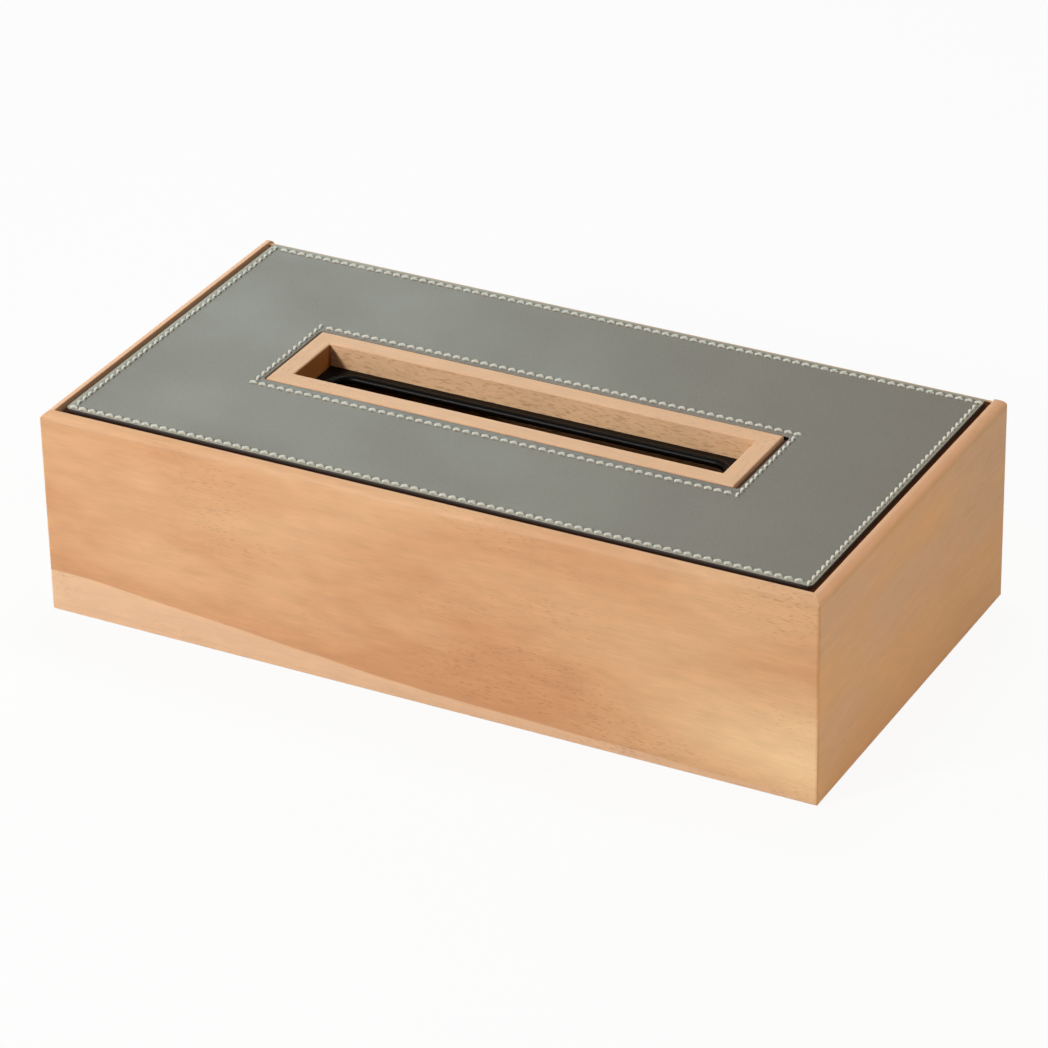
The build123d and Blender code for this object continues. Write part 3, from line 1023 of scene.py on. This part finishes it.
class TISSUEBOX_OT_stage(bpy.types.Operator):
    """Set the white floor, the lamps and the camera"""

    bl_idname = "tissue_box.stage"
    bl_label = "Set stage"

    def execute(self, context):
        look = context.scene.tissue_box.stage
        scene = context.scene
        self.floor(scene)
        self.world(scene, look)
        # name, power, place, size and colour of each lamp
        lamps = (
            ("key", look.key, (-0.43, -0.84, 0.50), (0.13, 0.13), (1.0, 0.96, 0.90)),
            ("window", look.window, (-0.85, -0.3, 0.55), (0.3, 0.3), (0.8, 0.98, 1.0)),
            ("overhead", look.overhead, (-0.08, 0.26, 0.95), (0.3, 0.3), (0.9, 1.0, 0.98)),
            ("sheen", look.sheen, (-0.5, 0.65, 0.5), (0.35, 0.35), (0.8, 1.0, 0.95)),
            ("fill", look.fill, (0.5, 0.2, 0.7), (0.25, 0.25), (1.0, 0.93, 0.82)),
            ("card", look.card, (0.42, -0.1, 0.035), (0.3, 0.06), (1.0, 0.68, 0.3)),
        )
        for lamp in lamps:
            self.lamp(scene, *lamp)
        self.camera(scene, look)
        scene.view_settings.view_transform = "Standard"
        return {"FINISHED"}

    def floor(self, scene):
        """A level white sheet under the box."""
        mesh = bpy.data.meshes.new("floor")
        reach = 6.0
        corners = [(-reach, -reach, 0), (reach, -reach, 0), (reach, reach, 0), (-reach, reach, 0)]
        mesh.from_pydata(corners, [], [(0, 1, 2, 3)])
        mesh.materials.append(studio_floor())
        floor = bpy.data.objects.new("floor", mesh)
        scene.collection.objects.link(floor)

    def world(self, scene, look):
        """A white room, dimmer to the right and overhead, and plain white to the camera."""
        world = bpy.data.worlds.new("white_room")
        scene.world = world
        world.use_nodes = True
        tree = world.node_tree
        tree.nodes.clear()
        way = node(tree, "ShaderNodeTexCoord").outputs["Generated"]
        way = node(tree, "ShaderNodeSeparateXYZ", {0: way}).outputs
        across = span(way["X"], -1.0, 1.0, 1.5 * look.ambient, 0.12 * look.ambient)
        across = node(tree, "ShaderNodeMapRange", across).outputs[0]
        upward = node(tree, "ShaderNodeMapRange", span(way["Z"], 0.1, 0.5, 1.2, 0.3)).outputs[0]
        settings = {0: across, 1: upward}
        level = node(tree, "ShaderNodeMath", settings, operation="MULTIPLY").outputs[0]
        white = {"Color": (1, 1, 1, 1)}
        light = node(tree, "ShaderNodeBackground", {**white, "Strength": level}).outputs[0]
        seen = node(tree, "ShaderNodeBackground", {**white, "Strength": 1.0}).outputs[0]
        camera_ray = node(tree, "ShaderNodeLightPath").outputs["Is Camera Ray"]
        mix = node(tree, "ShaderNodeMixShader", {0: camera_ray, 1: light, 2: seen}).outputs[0]
        node(tree, "ShaderNodeOutputWorld", {"Surface": mix})

    def lamp(self, scene, name, power, place, size, colour):
        """A soft lamp aimed at the middle of the box."""
        data = bpy.data.lights.new(name, "AREA")
        data.shape = "RECTANGLE"
        data.size, data.size_y = size
        data.energy = power
        data.color = colour
        lamp = bpy.data.objects.new(name, data)
        lamp.location = place
        aim = Vector((0, 0, cad_bounds[1].z / 2)) - Vector(place)
        lamp.rotation_euler = aim.to_track_quat("-Z", "Y").to_euler()
        scene.collection.objects.link(lamp)

    def camera(self, scene, look):
        """The camera at the angle that the box is seen from."""
        data = bpy.data.cameras.new("view")
        data.lens = look.lens
        camera = bpy.data.objects.new("view", data)
        level = math.cos(look.elevation)
        x, y = math.sin(look.azimuth) * level, -math.cos(look.azimuth) * level
        back = Vector((x, y, math.sin(look.elevation)))
        right = Vector((0, 0, 1)).cross(back).normalized()
        down = right.cross(back)
        right = right * math.cos(look.roll) + down * math.sin(look.roll)
        up = back.cross(right)
        turn = Matrix((right, up, back)).transposed()
        camera.matrix_world = Matrix.Translation(look.camera_place) @ turn.to_4x4()
        scene.collection.objects.link(camera)
        scene.camera = camera


class TISSUEBOX_PT_panel(bpy.types.Panel):
    """Lists the steps that finish the tissue box"""

    bl_idname = "TISSUEBOX_PT_panel"
    bl_label = "Tissue Box"
    bl_space_type = "VIEW_3D"
    bl_region_type = "UI"
    bl_category = "Tissue Box"

    def draw(self, context):
        look = context.scene.tissue_box
        for group in (look.wood, look.leather, look.stitch, look.stage):
            box = self.layout.box()
            for name in type(group).__annotations__:
                box.prop(group, name)
        for operator in OPERATORS:
            self.layout.operator(operator.bl_idname)


OPERATORS = (
    TISSUEBOX_OT_walls,
    TISSUEBOX_OT_boards,
    TISSUEBOX_OT_leather,
    TISSUEBOX_OT_stitching,
    TISSUEBOX_OT_slot_frame,
    TISSUEBOX_OT_insert,
    TISSUEBOX_OT_stage,
)
CLASSES = (WoodLook, LeatherLook, StitchLook, StageLook, BoxLook, *OPERATORS, TISSUEBOX_PT_panel)


def register():
    """Add the classes and the scene's settings."""
    for cls in CLASSES:
        bpy.utils.register_class(cls)
    bpy.types.Scene.tissue_box = PointerProperty(type=BoxLook)


def unregister():
    """Take the classes and the settings away again."""
    del bpy.types.Scene.tissue_box
    for cls in reversed(CLASSES):
        bpy.utils.unregister_class(cls)


def main():
    """Run every step."""
    register()
    bpy.ops.tissue_box.walls()
    bpy.ops.tissue_box.boards()
    bpy.ops.tissue_box.leather()
    bpy.ops.tissue_box.stitching()
    bpy.ops.tissue_box.slot_frame()
    bpy.ops.tissue_box.insert()
    bpy.ops.tissue_box.stage()


if __name__ == "__main__":
    main()
